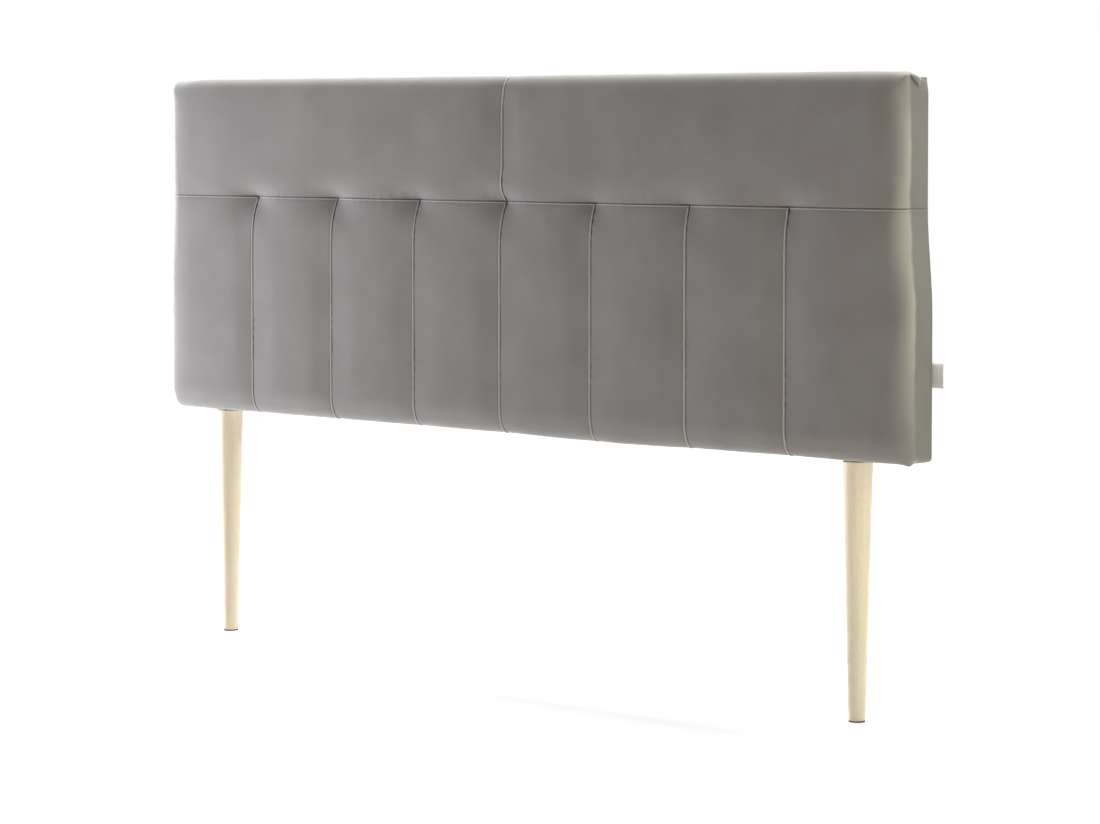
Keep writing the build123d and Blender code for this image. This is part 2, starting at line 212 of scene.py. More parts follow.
def pullIn(a, b, isLower):
    # three pulls join as (p^n + q^n + r^n)^(1/n): the vertical seam's falls as a parabola and a pinch, the
    # cross seam's as exp(-d / reach), the tuft's as exp(-(d / reach)^1.25), each tuft with its own share of
    # the depth; all fade over the board's edges
    tuftNumber = nearestTuft(a)
    across, up = a - tuftNumber * board["pitch"], b - board["seam"]
    share = np.clip(1 - np.abs(across) / (board["pitch"] / 2), 0, 1)
    pinch = cover["pinchShare"] * np.exp(-np.abs(across) / reach["seamPinch"])
    seam = cover["seamPull"] * ((1 - cover["pinchShare"]) * share**2 + pinch)
    if not isLower:
        seam = np.where(tuftNumber == 0, seam, cover["plainPull"] * share**2)
    cross = cover["crossPull"] * np.exp(-np.abs(up) / reach["crossDown" if isLower else "crossUp"])
    depth = cover["tuftPull"] * np.array(cover["tuftShares"])[tuftNumber.astype(int) + 3]
    away = np.hypot(across / reach["tuftAcross"], up / reach["tuftDown" if isLower else "tuftUp"])
    tuft = depth * np.exp(-(away ** cover["tuftPower"]))
    power = cover["pullPower"]
    total = (seam**power + cross**power + tuft**power) ** (1 / power)
    sideRoom = board["halfWidth"] + cover["sideRoom"] - np.abs(a)
    endRoom = np.minimum(b - board["bottom"] + cover["lowRoom"], board["top"] + cover["highRoom"] - b)
    total = total * atLeast(cover["leastAtSide"], smooth(sideRoom / reach["sidePull"]))
    return total * atLeast(cover["leastAtEnd"], smooth(endRoom / reach["endPull"]))


def seamRelief(distance, width, height, depth):
    # minus a narrow crack at the seam, and where the distance is negative plus a rounded band of
    # doubled cloth and minus the dent that its stitches pull along the band's far edge
    band = height / (1 + np.exp(np.clip(-(distance + width) / cover["bandEdge"], -50, 50)))
    dent = cover["dent"] * np.exp(-(((distance + width + 0.5) / 0.7) ** 2))
    crack = depth * np.exp(-np.abs(distance) / np.where(distance < 0, *cover["crackReach"]))
    return np.where(distance < 0, band - dent, 0) - crack


def softWaves(a, b, draws):
    # a sum of six slow sine waves, each with its own direction, length and phase
    total = np.zeros_like(a)
    for _ in range(6):
        angle, length = draws.uniform(0, math.pi), draws.uniform(*cover["waveLengths"])
        phase = draws.uniform(0, 6.3)
        total += np.sin((a * math.cos(angle) + b * math.sin(angle)) * 2 * math.pi / length + phase)
    return total / 6


def puckers(distance, along, draws):
    # short waves along a seam, of uneven length and height, that die away from it as exp(-distance / reach)
    run = along + draws.uniform(0, 100)
    wave = np.sin(run / 3.1 + 1.9 * np.sin(run / 19)) * (0.6 + 0.4 * np.sin(run / 41))
    return cover["puckerHeight"] * wave * np.exp(-np.abs(distance) / reach["pucker"])


def offsetOf(a, b, panel):
    # how far the cover stands out along its normal, how near each place is to a crack, for painted shade, and
    # how far up a ridge, for a painted highlight. The vertical seams' bands stop where the cross seam's
    # starts, and the cracks gape near the tufts and close further away
    isLower = panel["isLower"]
    fromCross, fromTuft = b - board["seam"], a - nearestTuft(a) * board["pitch"]
    shown = 1
    if isLower:
        shown = 1 - near(cover["crossBandWidth"] - np.abs(fromCross), cover["bandStop"])
    gape = 0.4 + 0.8 * np.exp(-np.abs(fromCross) / reach["gape"])
    crossGape = 0.8 + 0.4 * np.exp(-np.abs(fromTuft / reach["crossGape"]))
    seams = [(a - seam, b, "band", shown, 1.0, gape, seam == panel["right"]) for seam in panel["seams"]]
    seams.append((fromCross, a, "crossBand", 1, 0.8, crossGape, isLower))
    offset, cut = -pullIn(a, b, isLower), np.zeros_like(a)
    paintedCrackShade, paintedRidgeShare = np.zeros_like(a), np.zeros_like(a)
    for distance, along, band, shown, tint, gape, bandInside in seams:
        height = cover[band + "Height"]
        # a place on the seam itself belongs to this panel's side of it
        sided = np.where(distance == 0, -1e-6 if bandInside else 1e-6, distance)
        relief = seamRelief(sided, cover[band + "Width"], height, cover["crackDepth"] * gape)
        raised = np.maximum(relief, 0) * shown
        offset += raised
        offset += puckers(distance, along, panel["draws"])
        # painted highlight share: how far up its raised band a place is, less on the cross seam
        paintedRidgeShare = np.maximum(paintedRidgeShare, tint * raised / height)
        cut = np.minimum(cut, relief)
        # painted shade share: close to a crack, more where it gapes
        paintedCrackShade = np.maximum(paintedCrackShade, gape * np.exp(-((distance / cover["crackShade"]) ** 2)))
    offset += cover["waveHeight"] * softWaves(a, b, panel["draws"])
    return offset + cut, np.stack([paintedCrackShade, paintedRidgeShare], axis=-1)


def boundaryPath(panel, rows, columns):
    # the front grid's outer edge as (row, column) pairs, anticlockwise as seen from the front
    bottom = [(0, j) for j in range(columns)]
    right = [(i, columns - 1) for i in range(rows)]
    top = [(rows - 1, j) for j in reversed(range(columns))]
    left = [(i, 0) for i in reversed(range(rows))]
    joined = {"bottom": bottom, "right": right, "top": top, "left": left}
    path = []
    for side in panel["rims"]:
        path += joined[side][1 if path else 0:]
    return np.array(path)


# The tuck at each top corner: where it starts behind the front and under the top, its slant's cosine and
# sine, and the height of one layer
tuck = {"behind": 16.0, "under": 3.0, "slant": (0.9, 0.436), "length": 42.0, "width": 26.0, "height": 1.2}


def cornerTuck(x, y, z):
    # the spare cloth of each top corner is folded under along a slant from the front corner back and
    # down: a step of one layer on its upper side, and painted shade along the crease at its foot
    back, down = y - board["front"] - tuck["behind"], board["top"] - tuck["under"] - z
    cosine, sine = tuck["slant"]
    along, over = cosine * back + sine * down, sine * back - cosine * down
    ends = smooth((along + 2) / 8) * smooth((tuck["length"] - along) / 12)
    ends = ends * (np.abs(x) > board["halfWidth"] - 12)
    step = smooth((over + 1.5) / 3) * smooth((tuck["width"] - over) / 16)
    return tuck["height"] * ends * step, 0.8 * ends * np.exp(-(((over + 0.5) / 2.6) ** 2))


def tightCorners(rim):
    # the rim with each corner's points moved onto a corner of the back's smaller radius
    x, z = rim[:, 0], rim[:, 2] - middle
    corner, u, v = cornerPlace(x, z)
    radius = np.minimum(corner, cover["backCorner"])
    size, isCorner = np.maximum(np.hypot(u, v), 1e-9), (u > 0) & (v > 0)
    newX = np.sign(x) * (board["halfWidth"] - radius + radius * u / size)
    newZ = np.sign(z) * (halfHeight - radius + radius * v / size)
    return np.where(isCorner, newX, x), np.where(isCorner, newZ, z) + middle


def outlineNormals(rim):
    # straight out of the sides, and away from the corner's centre on its round
    x, z = rim[:, 0], rim[:, 2] - middle
    u, v = [np.maximum(part, 0) for part in cornerPlace(x, z)[1:]]
    size = np.maximum(np.hypot(u, v), 1e-9)
    return np.stack([np.sign(x) * u / size, np.sign(z) * v / size], axis=-1)


# The wrap's grid lines, straight back, round the back edge and over the lip, and how much of the front's
# relief it carries: it fades from the rim, is no deeper than a limit, and is quieter on the round and lip
wrap = {"straight": 24, "round": 4, "lip": 8, "fade": 14.0, "deepest": -2.2, "onRound": 0.45, "onLip": 0.3}


def wrapStrip(panel):
    # from the rim straight back, round the back edge, and in over the back, while the corners get
    # tighter. An inset d on the back keeps x and z inside the outline made smaller by d, so that the
    # turned-in cloth mitres at a corner, and it sinks a little where the back cloth covers it
    (rim, a, b), outward = panel["rim"], panel["outward"]
    straight = np.linspace(0, 1, wrap["straight"] + 1)[1:]
    turn = np.linspace(0, math.pi / 2, wrap["round"] + 1)[1:]
    inset = np.linspace(cover["backRound"], cover["lipWidth"], wrap["lip"] + 1)[1:]
    rearY = board["back"] - cover["backRound"]
    y = [rim[:, 1] + share * (rearY - rim[:, 1]) for share in straight]
    y += [np.full(len(rim), rearY + cover["backRound"] * math.sin(angle)) for angle in turn]
    y += [np.full(len(rim), board["back"] - cover["lipSink"] * smooth((into - 10) / 8)) for into in inset]
    d = [0.0] * len(straight) + [cover["backRound"] * (1 - math.cos(angle)) for angle in turn] + list(inset)
    y, d = np.array(y), np.array(d)[:, None]
    tightX, tightZ = tightCorners(rim)
    share = smooth((y - rim[:, 1]) / (rearY - rim[:, 1]))
    x, z = rim[:, 0] + (tightX - rim[:, 0]) * share, rim[:, 2] + (tightZ - rim[:, 2]) * share
    x = np.sign(x) * np.minimum(np.abs(x), board["halfWidth"] - d)
    z = np.clip(z, board["bottom"] + d, board["top"] - d)
    points = np.stack([x, y, z], axis=-1)
    steps = np.linalg.norm(np.diff(np.concatenate([rim[None], points]), axis=0), axis=2)
    length = np.cumsum(steps, axis=0)
    angle = np.concatenate([np.zeros(len(straight)), turn, np.full(len(inset), math.pi / 2)])[:, None]
    normal = np.zeros_like(points)
    normal[..., 0] = outward[:, 0] * np.cos(angle)
    normal[..., 1] = np.sin(angle)
    normal[..., 2] = outward[:, 1] * np.cos(angle)
    offset, marks = offsetOf(np.broadcast_to(a, length.shape), np.broadcast_to(b, length.shape), panel)
    fading = np.minimum(offset[0] * np.exp(-length / wrap["fade"]), 0)
    plain = np.maximum(fading, wrap["deepest"]) + (offset - offset[0])
    quiet = np.where(angle > 0.1, wrap["onRound"], 1.0) * np.where(angle > 1.5, wrap["onLip"], 1.0)
    step, paintedCreaseShade = cornerTuck(x, y, z)
    points = points + normal * (plain * quiet + step)[..., None]
    # painted marks are weaker on the wrap, and each tuck's crease gets painted shade
    marks = marks * 0.8
    marks[..., 0] = np.maximum(marks[..., 0], paintedCreaseShade)
    return points, a + outward[:, 0] * length, b + outward[:, 1] * length, marks


def shapeFront(panel):
    # the front's points, its rim, and how far every place is moved along its normal
    panel["draws"] = np.random.default_rng(panel["seed"])
    a, b = np.meshgrid(panel["a"], panel["b"])
    base = frontBase(a, b)
    normal = normalsOf(base)
    panel["path"] = boundaryPath(panel, *a.shape)
    edge = tuple(panel["path"].T)
    panel["rim"] = [base[edge], a[edge], b[edge]]
    outward = panel["outward"] = outlineNormals(base[edge])
    normal[edge] = np.stack([outward[:, 0], 0 * outward[:, 0], outward[:, 1]], axis=-1)
    offset, panel["marks"] = offsetOf(a, b, panel)
    panel["front"] = base + normal * offset[..., None]


def regrid(values, rows, columns, newRows, newColumns):
    # straight-line values between grid lines, first across and then up
    first, share = between(columns, newColumns)
    values = values[:, first] * (1 - share)[:, None] + values[:, first + 1] * share[:, None]
    first, share = between(rows, newRows)
    return values[first] * (1 - share)[:, None, None] + values[first + 1] * share[:, None, None]


def between(lines, spots):
    # the grid line before each spot, and how far the spot lies on towards the next one
    first = np.clip(np.searchsorted(lines, spots) - 1, 0, len(lines) - 2)
    return first, (spots - lines[first]) / (lines[first + 1] - lines[first])


def quads(*corners):
    # faces from four whole arrays of corner numbers
    return np.stack([corner.ravel() for corner in corners], axis=-1)


def gridFaces(index):
    # the faces between a grid's neighbouring points
    return quads(index[:-1, :-1], index[:-1, 1:], index[1:, 1:], index[1:, :-1])


# The cloth's own fullness between its seams, from Blender's cloth simulation. A hold is how far from an
# edge the fullness fades
puff = {"step": 9.0, "pressure": 4.0, "frames": 20, "quality": 6, "most": 2.2,
        "seamHold": 50.0, "crossHold": 125.0, "rimHold": 80.0}


def simulateCover(plan):
    # a coarse copy of every front is held along its edges and blown up by pressure without gravity. What
    # each point moves is capped, fades to nothing at the edges, and is added to the fine front
    points, faces, held, start = [], [], [], 0
    for panel in plan.values():
        rows, columns = panel["b"], panel["a"]
        panel["coarse"] = [np.linspace(lines[0], lines[-1], round((lines[-1] - lines[0]) / puff["step"]))
                           for lines in (rows, columns)]
        grid = regrid(panel["front"], rows, columns, *panel["coarse"])
        index = np.arange(grid[..., 0].size).reshape(grid.shape[:2]) + start
        faces.append(gridFaces(index))
        held += [index[0], index[-1], index[:, 0], index[:, -1]]
        points.append(grid.reshape(-1, 3))
        start += index.size
    mesh = bpy.data.meshes.new("coverCloth")
    mesh.from_pydata((np.concatenate(points) * mm).tolist(), [], np.concatenate(faces).tolist())
    cloth = bpy.data.objects.new("coverCloth", mesh)
    scene.collection.objects.link(cloth)
    cloth.vertex_groups.new(name="held").add(np.unique(np.concatenate(held)).tolist(), 1.0, "REPLACE")
    modifier = cloth.modifiers.new("cloth", "CLOTH")
    modifier.settings.vertex_group_mass = "held"
    modifier.settings.quality = puff["quality"]
    modifier.settings.use_pressure = True
    modifier.settings.uniform_pressure_force = puff["pressure"]
    modifier.settings.effector_weights.gravity = 0
    for frameNumber in range(1, puff["frames"] + 1):
        scene.frame_set(frameNumber)
    result = cloth.evaluated_get(bpy.context.evaluated_depsgraph_get())
    after = np.zeros(start * 3)
    result.data.vertices.foreach_get("co", after)
    moved = after.reshape(-1, 3) / mm - np.concatenate(points)
    size = np.linalg.norm(moved, axis=1, keepdims=True)
    print(f"cloth moved {size.mean():.1f} mm on average, {size.max():.1f} mm at most")
    moved *= np.minimum(1, puff["most"] / np.maximum(size, 1e-6))
    bpy.data.objects.remove(cloth)
    scene.frame_set(1)
    start = 0
    for panel in plan.values():
        rows, columns = panel["coarse"]
        shift = moved[start:start + len(rows) * len(columns)].reshape(len(rows), len(columns), 3)
        start += len(rows) * len(columns)
        fine = regrid(shift, rows, columns, panel["b"], panel["a"])
        fade = []
        for lines, ends, hold in ((panel["b"], ("bottom", "top"), "crossHold"),
                                  (panel["a"], ("left", "right"), "seamHold")):
            first, last = [puff["rimHold" if side in panel["rims"] else hold] for side in ends]
            fade.append(smooth((lines - lines[0]) / first) * smooth((lines[-1] - lines) / last))
        panel["front"] += fine * (fade[0][:, None] * fade[1])[..., None]


# Painted shade and a painted highlight at the sides' front edges, in millimetres from the edge: where the
# side's painted shade starts, and the painted highlight band, which is as long as the board but fades towards
# its corners
edgePaint = {"shadeStart": 5.0, "shadeFade": 9.0, "bandStart": 40.0, "bandFade": 36.0, "bandEnd": 3.0, "endFade": 11.0,
       "leastAtCorner": 0.25, "lowCorner": 20.0, "lowFade": 210.0, "highCorner": 10.0, "highFade": 120.0}


def pileMarks(a, b):
    # how much painted shade darkens the side, and how much painted highlight lightens a band of uneven width
    # that ends sharply at the side's front edge; its borders wander as sums of sines
    pastEdge = np.abs(a) - board["halfWidth"] - cover["sideRound"] * unrolled
    wander = 1.5 * np.sin(b / 23 + 1.3 * np.sin(b / 61)) + 0.8 * np.sin(b / 7.3)
    # painted shade, darker and greener, on the side beyond its front edge
    sideNap = smooth((pastEdge + edgePaint["shadeStart"] - wander) / edgePaint["shadeFade"])
    # painted highlight in a band that ends at the side's front edge
    rubbed = smooth((pastEdge + edgePaint["bandStart"] + 5 * np.sin(b / 37)) / edgePaint["bandFade"])
    rubbed *= 1 - smooth((pastEdge + edgePaint["bandEnd"] - wander) / edgePaint["endFade"])
    low = smooth((b - board["bottom"] - edgePaint["lowCorner"]) / edgePaint["lowFade"])
    high = smooth((board["top"] + edgePaint["highCorner"] - b) / edgePaint["highFade"])
    return {"rubbed": rubbed * atLeast(edgePaint["leastAtCorner"], low * high), "sideNap": sideNap}


def buildPanel(name, panel):
    # front grid and wrap strip make the outer skin; the inner skin is each outer point's nearest point
    # of the wooden frame's box, and walls close the two along the seams and the turned-in edge
    a, b = np.meshgrid(panel["a"], panel["b"])
    front, path = panel["front"], panel["path"]
    front[..., 1] = np.minimum(front[..., 1], woodLow[1] - cover["overFront"])
    strip, stripA, stripB, stripMarks = wrapStrip(panel)
    front, strip = panel["grid"], panel["strip"] = settle(front), settle(strip)
    outer = np.concatenate([front.reshape(-1, 3), strip.reshape(-1, 3)])
    a, b = np.concatenate([a.ravel(), stripA.ravel()]), np.concatenate([b.ravel(), stripB.ravel()])
    crack, ridge = np.concatenate([panel["marks"].reshape(-1, 2), stripMarks.reshape(-1, 2)]).T
    # painted shade and highlight shares, kept as attributes for the velvet
    marks = {"crack": crack, "ridge": ridge} | pileMarks(a, b)
    index = np.arange(front[..., 0].size).reshape(front.shape[:2])
    stripIndex = index.size + np.arange(strip[..., 0].size).reshape(strip.shape[:2])
    ring = np.concatenate([index[path[:, 0], path[:, 1]][None], stripIndex])
    faces = np.concatenate([gridFaces(index), gridFaces(ring)[:, ::-1]])
    skins = np.concatenate([outer, np.clip(outer, woodLow, woodHigh)])
    return meshPiece(name, skins, closedFaces(faces, len(outer)), np.tile(np.stack([a, b], axis=-1), (2, 1)),
                     {key: np.tile(values, 2) for key, values in marks.items()})


def closedFaces(faces, count):
    # the outer skin's faces, the inner skin's, turned round, and a wall between the two at every edge
    # that has a face on one side only
    start, end = faces.ravel(), np.roll(faces, -1, axis=1).ravel()
    single = ~np.isin(start * count + end, end * count + start)
    start, end = start[single], end[single]
    walls = np.stack([end, start, start + count, end + count], axis=-1)
    return np.concatenate([faces, faces[:, ::-1] + count, walls])


def meshPiece(name, points, faces, uv=None, attributes=None, smoothAngle=50):
    # a mesh from points in millimetres, with doubles merged, normals outwards and smooth faces
    mesh = bpy.data.meshes.new(name)
    blocks = faces if isinstance(faces, list) else [faces]
    mesh.from_pydata((points * mm).tolist(), [], [face for block in blocks for face in block.tolist()])
    if uv is not None:
        corner = np.zeros(len(mesh.loops), np.int32)
        mesh.loops.foreach_get("vertex_index", corner)
        layer = mesh.uv_layers.new(name="clothUV")
        layer.data.foreach_set("uv", (uv[corner] * mm).astype(np.float32).ravel())
    for key, values in (attributes or {}).items():
        mesh.attributes.new(key, "FLOAT", "POINT").data.foreach_set("value", values.astype(np.float32))
    work = bmesh.new()
    work.from_mesh(mesh)
    bmesh.ops.remove_doubles(work, verts=work.verts, dist=0.00003)
    bmesh.ops.dissolve_degenerate(work, edges=work.edges, dist=0.00001)
    bmesh.ops.recalc_face_normals(work, faces=work.faces)
    work.to_mesh(mesh)
    work.free()
    mesh.polygons.foreach_set("use_smooth", [True] * len(mesh.polygons))
    mesh.set_sharp_from_angle(angle=math.radians(smoothAngle))
    piece = bpy.data.objects.new(name, mesh)
    scene.collection.objects.link(piece)
    return piece


def panelPlan():
    # each panel's grid lines, its seams, and its edges that wrap round the board. The panels stand
    # between lines a pitch apart, in the lower row eight and in the upper row two
    pitch, end = board["pitch"], board["halfWidth"] + cover["sideRound"] * unrolled
    low, high = board["bottom"] - cover["bottomRound"] * unrolled, board["top"] + cover["topRound"] * unrolled
    step, sideArc = cover["gridStep"], arcLines(cover["sideRound"], 9)
    rows = {"lower": gridLines(low, board["seam"], step, arcLines(cover["bottomRound"], 8), bandLines),
            "upper": gridLines(board["seam"], high, step, plainLines, arcLines(cover["topRound"], 7))}
    spans = [("lower", number, (number - 5) * pitch, (number - 4) * pitch, number) for number in range(1, 9)]
    spans += [("upper", "left", -4 * pitch, 0.0, 21), ("upper", "right", 0.0, 4 * pitch, 22)]
    plan = {}
    for row, side, left, right, seed in spans:
        isFirst, isLast = left == -4 * pitch, right == 4 * pitch
        left, right = -end if isFirst else left, end if isLast else right
        first, last = sideArc if isFirst else plainLines, sideArc if isLast else bandLines
        rims = ["left", "bottom"] if isFirst else ["bottom", "right"] if isLast else ["bottom"]
        if row == "upper":
            rims = ["top", "left"] if isFirst else ["right", "top"]
        names = [f"lower_{part}_{side}" if row == "lower" else f"upper_{side}_{part}"
                 for part in ("panel", "foam")]
        plan[names[0]] = {"a": gridLines(left, right, step, first, last), "b": rows[row], "rims": rims,
                          "seams": [edge for edge in (left, right) if abs(edge) < end], "right": right,
                          "isLower": row == "lower", "seed": seed, "stands": names}
    return plan


# Top stitching along the far edge of each band: each stitch is a thread of five rings, of which the ends
# are thinner and dip into the cloth
stitching = {"pitch": 4.0, "length": 2.9, "thread": 0.44, "fromBand": 0.45, "lift": 0.47, "dip": 0.75,
             "taper": (0.45, 0.95, 1.0, 0.95, 0.45), "sides": 6}


def stripLine(panel, row, column):
    # the wrap's points that start at one place of the front's edge
    path = panel["path"]
    return panel["strip"][:, np.nonzero((path[:, 0] == row) & (path[:, 1] == column))[0][0]]


def uprightSeamLines(panel):
    # two neighbouring lines up a panel, on and beside its stitches, with the wrap under or over the board
    first, share = between(panel["a"], panel["right"] - cover["bandWidth"] - stitching["fromBand"])
    grid, pair = panel["grid"], []
    for column in (first, first + 1):
        if panel["isLower"]:
            pair.append(np.concatenate([stripLine(panel, 0, column)[::-1], grid[:, column]]))
        else:
            pair.append(np.concatenate([grid[:, column], stripLine(panel, len(grid) - 1, column)]))
    return pair[0] + share * (pair[1] - pair[0]), pair[1] - pair[0]


def crossSeamLines(plan):
    # the same pair along the top of the lower row, from the back edge of one side to that of the other
    lower = [plan[f"lower_panel_{number}"] for number in range(1, 9)]
    first, share = between(lower[0]["b"], board["seam"] - cover["crossBandWidth"] - stitching["fromBand"])
    pair = []
    for row in (first, first + 1):
        runs = [stripLine(lower[0], row, 0)[::-1]]
        runs += [panel["grid"][row] for panel in lower]
        runs.append(stripLine(lower[-1], row, len(lower[-1]["a"]) - 1))
        pair.append(np.concatenate(runs))
    return pair[0] + share * (pair[1] - pair[0]), pair[0] - pair[1]


def alongLine(values, length, spots):
    # straight-line values at new spots along a line
    return np.stack([np.interp(spots, length, values[:, axis]) for axis in range(3)], axis=-1)


def lengthAlong(line):
    # the distance from a line's start to each of its points
    return np.append(0, np.cumsum(np.linalg.norm(np.diff(line, axis=0), axis=1)))


def stitchRun(line, beside):
    # short threads along a line that is first evened out to points 1 mm apart
    keep = np.append(True, np.linalg.norm(np.diff(line, axis=0), axis=1) > 0.05)
    line, beside = line[keep], beside[keep]
    length = lengthAlong(line)
    even = np.arange(0, length[-1], 1.0)
    line, beside = alongLine(line, length, even), alongLine(beside, length, even)
    up = np.cross(beside, np.gradient(line, axis=0))
    up /= np.maximum(np.linalg.norm(up, axis=1, keepdims=True), 1e-9)
    centres = np.arange(stitching["pitch"], length[-1] - stitching["pitch"], stitching["pitch"])
    share = np.linspace(-1, 1, len(stitching["taper"]))
    where = centres[:, None] + share * stitching["length"] / 2
    thread, rise = alongLine(line, even, where), alongLine(up, even, where)
    thread = thread + rise * (stitching["lift"] - stitching["dip"] * share**2)[:, None]
    run = thread[:, -1] - thread[:, 0]
    run = run / np.linalg.norm(run, axis=1, keepdims=True)
    aside = np.cross(run[:, None], rise)
    radius = stitching["thread"] / 2 * np.array(stitching["taper"])
    turn = np.arange(stitching["sides"]) * 2 * math.pi / stitching["sides"]
    ring = aside[:, :, None] * np.cos(turn)[:, None] + rise[:, :, None] * np.sin(turn)[:, None]
    return (thread[:, :, None] + ring * radius[:, None, None]).reshape(-1, 3)


def tubeFaces(tubes, rings, sides):
    # faces of many closed tubes whose points are stored tube by tube, ring by ring
    index = np.arange(tubes * rings * sides).reshape(tubes, rings, sides)
    here, there = index[:, :-1], index[:, 1:]
    walls = quads(here, np.roll(here, -1, axis=2), np.roll(there, -1, axis=2), there)
    return [walls, index[:, 0, ::-1], index[:, -1]]


def buildStitches(plan):
    # the stitches of all seams as one piece
    runs = [uprightSeamLines(plan[f"lower_panel_{number}"]) for number in range(1, 8)]
    runs += [uprightSeamLines(plan["upper_left_panel"]), crossSeamLines(plan)]
    points = np.concatenate([stitchRun(*run) for run in runs])
    rings, sides = len(stitching["taper"]), stitching["sides"]
    return meshPiece("topStitching", points, tubeFaces(len(points) // (rings * sides), rings, sides))


# Ties: two-ply twine from each tuft through the front board to a washer
tie = {"strand": 0.55, "ply": 0.5, "twist": 5.0, "rings": 60, "sides": 8, "ends": (0.3, 0.6),
       "washer": 2.0, "hole": 1.6, "bevel": 0.5, "countersink": 0.2, "washerSides": 32}


def ringSweep(profile, sides):
    # a closed profile of (radius, height) turned round the Y axis
    turn = np.arange(sides) * 2 * math.pi / sides
    radius, height = profile[:, :1], np.broadcast_to(profile[:, 1:], (len(profile), sides))
    points = np.stack([radius * np.cos(turn), height, radius * np.sin(turn)], axis=-1)
    index = np.arange(points[..., 0].size).reshape(len(profile), sides)
    over = np.roll(index, -1, axis=0)
    return points.reshape(-1, 3), quads(index, over, np.roll(over, -1, axis=1), np.roll(index, -1, axis=1))


def buildTies():
    # each ply is a tube round (ply cos t, y, ply sin t), half a turn on from the other, and the washer is a
    # profile with rounded outer edges, turned round the same axis
    low, high = millimetres("tuft_ties")
    back, bevel = high[1], tie["bevel"]
    length = np.linspace(low[1] + tie["ends"][0], back - tie["ends"][1], tie["rings"])
    turn = np.arange(tie["sides"]) * 2 * math.pi / tie["sides"]
    ring = np.stack([np.cos(turn), 0 * turn, np.sin(turn)], axis=-1) * tie["strand"]
    angle = np.linspace(0, math.pi / 2, 4)
    radius = (high[2] - low[2]) / 2 - bevel + bevel * np.sin(angle)
    outer = np.stack([radius, back - bevel + bevel * np.cos(angle)], axis=-1)
    front = (outer * (1, -1) + (0, 2 * back - tie["washer"]))[::-1]
    inner = [[tie["hole"], back - tie["washer"]], [tie["hole"], back - tie["countersink"]]]
    washer, washerFaces = ringSweep(np.concatenate([outer, front, inner]), tie["washerSides"])
    blocks, faces, start = [], [], 0
    for x in board["pitch"] * np.arange(-3, 4):
        for phase in (0, math.pi):
            angle = phase + length * 2 * math.pi / tie["twist"]
            plyX, plyZ = x + tie["ply"] * np.cos(angle), board["seam"] + tie["ply"] * np.sin(angle)
            centre = np.stack([plyX, length, plyZ], axis=-1)
            blocks.append((centre[:, None] + ring).reshape(-1, 3))
            faces += [part + start for part in tubeFaces(1, tie["rings"], tie["sides"])]
            start += len(blocks[-1])
        blocks.append(washer + (x, 0, board["seam"]))
        faces.append(washerFaces + start)
        start += len(washer)
    return meshPiece("tuftTwine", np.concatenate(blocks), faces, smoothAngle=40)


# Back cover: a stretched cloth, dented where each staple holds it
backing = {"step": 6.0, "thickness": 0.45, "below": 0.1, "sag": 0.2, "dent": 0.25, "dentReach": 7.0,
           "lowest": 0.42, "seed": 31}


def staplePlaces():
    # the middles of the staples: points of the CAD node that share a 24 mm cell belong to one staple
    source = bpy.data.objects["back_staples"].data
    points = np.zeros(len(source.vertices) * 3)
    source.vertices.foreach_get("co", points)
    spots = points.reshape(-1, 3)[:, [0, 2]] / mm
    cells, group = np.unique(np.round(spots / 24), axis=0, return_inverse=True)
    return np.array([spots[group.ravel() == number].mean(axis=0) for number in range(len(cells))])


def buildBacking():
    # a flat grid with slow waves, minus exp(-distance / reach) at each staple
    low, high = millimetres("back_cover")
    x, z = np.meshgrid(np.linspace(low[0], high[0], round((high[0] - low[0]) / backing["step"])),
                       np.linspace(low[2], high[2], round((high[2] - low[2]) / backing["step"])))
    waves = softWaves(x, z, np.random.default_rng(backing["seed"]))
    y = high[1] - backing["below"] - backing["sag"] * (0.5 + waves)
    for stapleX, stapleZ in staplePlaces():
        y -= backing["dent"] * np.exp(-np.hypot(x - stapleX, z - stapleZ) / backing["dentReach"])
    outer = np.stack([x, np.maximum(y, high[1] - backing["lowest"]), z], axis=-1).reshape(-1, 3)
    index = np.arange(x.size).reshape(x.shape)
    faces = quads(index[:-1, :-1], index[1:, :-1], index[1:, 1:], index[:-1, 1:])
    skins = np.concatenate([outer, outer - (0, backing["thickness"], 0)])
    return meshPiece("backCloth", skins, closedFaces(faces, len(outer)), np.tile(outer[:, [0, 2]], (2, 1)))


# Tab: one ribbon folded in half, its two layers a little apart beyond the board's side, and reaching
# a few millimetres further out than its CAD solid
tab = {"thickness": 0.28, "gape": 1.6, "fold": 0.55, "further": 7.0, "curl": 0.35, "curlReach": 12.0,
       "columns": 22, "rows": 15}


